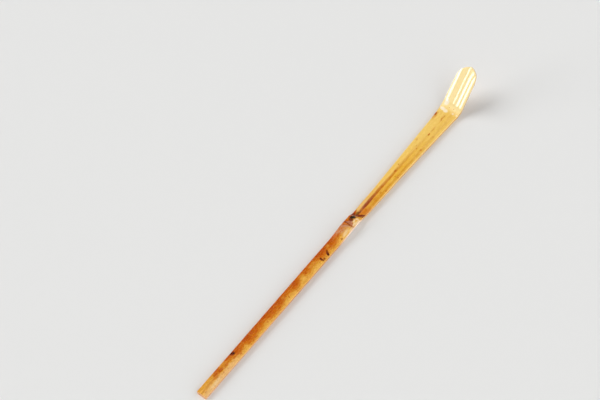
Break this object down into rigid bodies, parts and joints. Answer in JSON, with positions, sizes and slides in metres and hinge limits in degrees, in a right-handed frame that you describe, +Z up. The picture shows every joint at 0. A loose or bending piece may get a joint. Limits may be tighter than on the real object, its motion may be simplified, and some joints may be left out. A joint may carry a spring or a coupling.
{
  "type": "tea scoop",
  "caption": "Slender bamboo tea scoop: a flat carved handle with the bamboo's node and groove, bent up at the end into a shallow pointed bowl for powdered tea.",
  "frame": {"origin": "middle of the scoop's length and width, on the surface that it lies on", "axes": "+X along the strip from the cut end of the handle to the tip of the bowl, +Y to the left seen from the cut end, +Z up out of the hollow side"},
  "size_m": [0.1818, 0.0094, 0.0178],
  "materials": {
    "bamboo": "polished"
  },
  "bodies": {
    "root": {"bamboo_scoop": "bamboo"}
  },
  "joints": []
}
